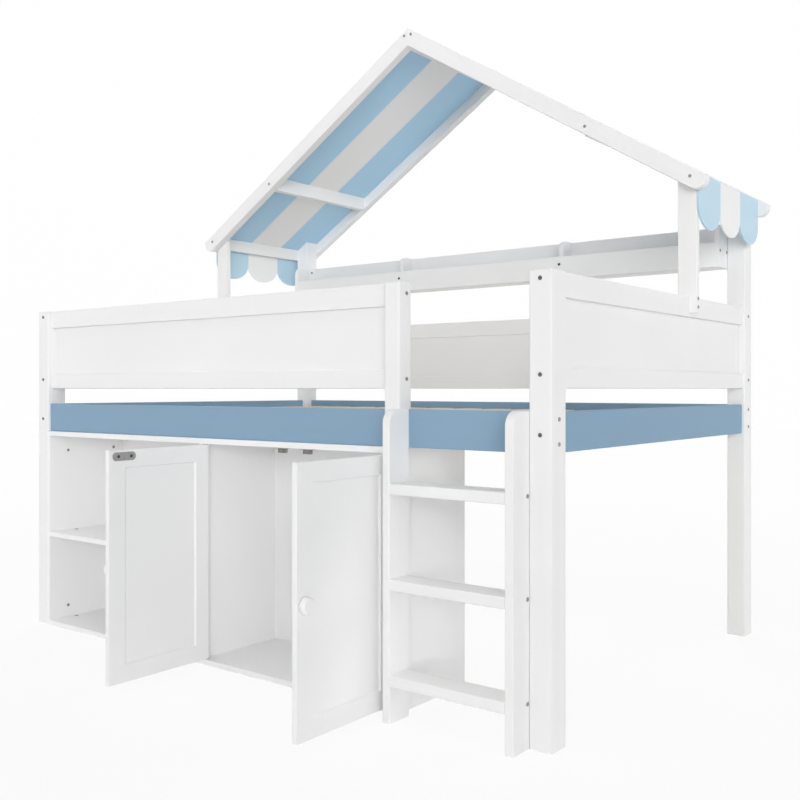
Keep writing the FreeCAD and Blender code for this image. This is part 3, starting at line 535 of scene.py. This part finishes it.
# Catches: magnetic catches under the cabinet's top, each a dull moulded case on a zinc-plated bracket.
# Two steel pole strips show in the front of each case, and a screw through either ear holds it up.
CASE_DEEP = srgb(138, 137, 132)
CASE_PALE = srgb(158, 156, 151)
CASE_SHEEN = 0.5
SPECKLE_SIZE = 0.0012
SPECKLE_GLOSS = 0.1
BRACKET_ZINC = (0.42, 0.415, 0.4, 1)
BRACKET_GLOSS = 0.15
BRACKET_THICK = 0.003
CATCH_MIDDLES = (0.158, 0.252)
EAR_SCREW_OUT = 0.017
POLE_SIZE = (0.0215, 0.0012, 0.0018)
POLE_PROUD = 0.0002
POLE_LEVELS = (0.0042, 0.0094)
POLE_ARRIS = 0.0002
catch_low, catch_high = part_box("door_catches")
catch_finish, shader, place = new_finish("catch_case_and_bracket")
height = place.node("ShaderNodeSeparateXYZ", sockets={0: place}, result="Z")
bracket = height > catch_high.z - BRACKET_THICK
speckle = noise(place, SPECKLE_SIZE)
feed(shader, "Base Color", blended(bracket, blended(speckle, CASE_DEEP, CASE_PALE), BRACKET_ZINC))
feed(shader, "Roughness", CASE_SHEEN - bracket * BRACKET_GLOSS + speckle * SPECKLE_GLOSS)
feed(shader, "Metallic", bracket)
finished(catch_finish, "door_catches", arris=0)
poles = bmesh.new()
spots = []
for middle in CATCH_MIDDLES:
    for rise in POLE_LEVELS:
        strip = bmesh.ops.create_cube(poles, size=1)["verts"]
        bmesh.ops.scale(poles, verts=strip, vec=POLE_SIZE)
        seat = Vector((middle, catch_low.y - POLE_PROUD + POLE_SIZE[1] / 2, catch_low.z + rise))
        bmesh.ops.translate(poles, verts=strip, vec=seat)
    ear_under = Vector((middle, (catch_low.y + catch_high.y) / 2, catch_high.z - BRACKET_THICK + BOLT_SUNK))
    spots += [(ear_under + Vector((out * EAR_SCREW_OUT, 0, 0)), (0, 0, -1)) for _, out in SIDES]
bmesh.ops.bevel(poles, geom=poles.edges[:], offset=POLE_ARRIS, affect="EDGES",
                segments=ARRIS_STEPS, profile=0.5, material=-1)
pole_steel = bolt_finish("pole_steel", dull=(0.1, 0.098, 0.094, 1), bright=(0.17, 0.166, 0.16, 1))
pole_strips = new_piece("catch_poles", poles, pole_steel)
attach(pole_strips, "bed_frame")
fixed_heads("catch_screws", screw, spots, screw_zinc, "bed_frame")


# Studio: a pale floor that keeps a faint shadow, and broad soft lights at a level that keeps colours true.
# A white paper backdrop stands all round, lets the lights through and throws no light back on the bed.
# The camera stands off the right front corner, lower than the guards' top rails.
FLOOR_HALF = 20
BACKDROP_AWAY = 19.5
BACKDROP_HIGH = 20
BACKDROP_STEPS = 96
PAPER_DEEP = (0.91, 0.91, 0.91, 1)
PAPER_PALE = (0.94, 0.94, 0.94, 1)
PAPER_CLOUD = 3
PAPER_SHEEN = 0.9
PURE_WHITE = (1, 1, 1, 1)
NEAR_WHITE = 0.9
FAR_WHITE = 0.95
SHADOW_REACH = (1.6, 5)
WORLD_LIGHT = 0.05
LIGHT_SPREAD = 35
CAMERA_PLACE = (2.0462, -2.4195, 0.8069)
CAMERA_TURN = 37.72
CAMERA_LENS = 43.57
CAMERA_SENSOR = 36
CAMERA_SHIFT = -0.0139
scene = bpy.context.scene
scene.view_settings.view_transform = "Standard"


def straight_sight(tone):
    """1 for the camera and for what gloss and glass show, 0 for light that falls on the object."""
    path = tone.node("ShaderNodeLightPath")
    outputs = path.socket.node.outputs
    return path + Tone(outputs["Is Glossy Ray"]) + Tone(outputs["Is Transmission Ray"])


def stage_piece(name, build, material):
    """A piece of the studio from a finished bmesh."""
    piece = new_piece(name, build, material)
    return piece


paper, shader, place = new_finish("studio_pale")
feed(shader, "Base Color", blended(noise(place, PAPER_CLOUD), PAPER_DEEP, PAPER_PALE))
shader.inputs["Roughness"].default_value = PAPER_SHEEN
away = place.node("ShaderNodeVectorMath", {"operation": "LENGTH"}, {0: place}, "Value")
white = NEAR_WHITE + eased(away, *SHADOW_REACH) * (FAR_WHITE - NEAR_WHITE)
glow = place.node("ShaderNodeEmission", sockets={"Color": PURE_WHITE, "Strength": 1})
lit = place.node("ShaderNodeMixShader", sockets={
    0: straight_sight(place) * white, 1: Tone(shader.outputs[0]), 2: glow})
paper.node_tree.links.new(lit.socket, paper.node_tree.nodes["Material Output"].inputs["Surface"])
build = bmesh.new()
bmesh.ops.create_grid(build, x_segments=1, y_segments=1, size=FLOOR_HALF)
stage_piece("floor", build, paper)
build = bmesh.new()
bmesh.ops.create_cone(build, cap_ends=False, segments=BACKDROP_STEPS, depth=BACKDROP_HIGH,
                      radius1=BACKDROP_AWAY, radius2=BACKDROP_AWAY,
                      matrix=Matrix.Translation((0, 0, BACKDROP_HIGH / 2)))
bmesh.ops.reverse_faces(build, faces=build.faces[:])
backdrop = stage_piece("backdrop", build, paper)
backdrop.visible_diffuse = False
backdrop.visible_shadow = False

world = bpy.data.worlds.new("studio")
world.use_nodes = True
scene.world = world
background = world.node_tree.nodes["Background"]
background.inputs["Color"].default_value = PURE_WHITE
seen = straight_sight(Tone(background.outputs[0]))
feed(background, "Strength", seen * (1 - WORLD_LIGHT) + WORLD_LIGHT)


def broad_light(name, around, above, strength):
    """A wide far light, at degrees round from the front towards the right and degrees above the floor."""
    light = bpy.data.lights.new(name, "SUN")
    light.energy = strength
    light.angle = math.radians(LIGHT_SPREAD)
    holder = bpy.data.objects.new(name, light)
    holder.rotation_euler = (math.radians(90 - above), 0, math.radians(around))
    scene.collection.objects.link(holder)


broad_light("viewer_light", around=40, above=4, strength=1.84)
broad_light("front_light", around=-30, above=15, strength=0.4)
broad_light("left_light", around=-60, above=30, strength=0.36)
broad_light("right_light", around=70, above=30, strength=0.46)
broad_light("overhead_light", around=0, above=70, strength=0.62)
broad_light("back_left_light", around=-140, above=25, strength=1.5)
broad_light("back_right_light", around=140, above=25, strength=0.7)

camera_data = bpy.data.cameras.new("camera")
camera_data.lens = CAMERA_LENS
camera_data.sensor_width = CAMERA_SENSOR
camera_data.shift_y = CAMERA_SHIFT
camera = bpy.data.objects.new("camera", camera_data)
camera.location = CAMERA_PLACE
camera.rotation_euler = (math.radians(90), 0, math.radians(CAMERA_TURN))
scene.collection.objects.link(camera)
scene.camera = camera
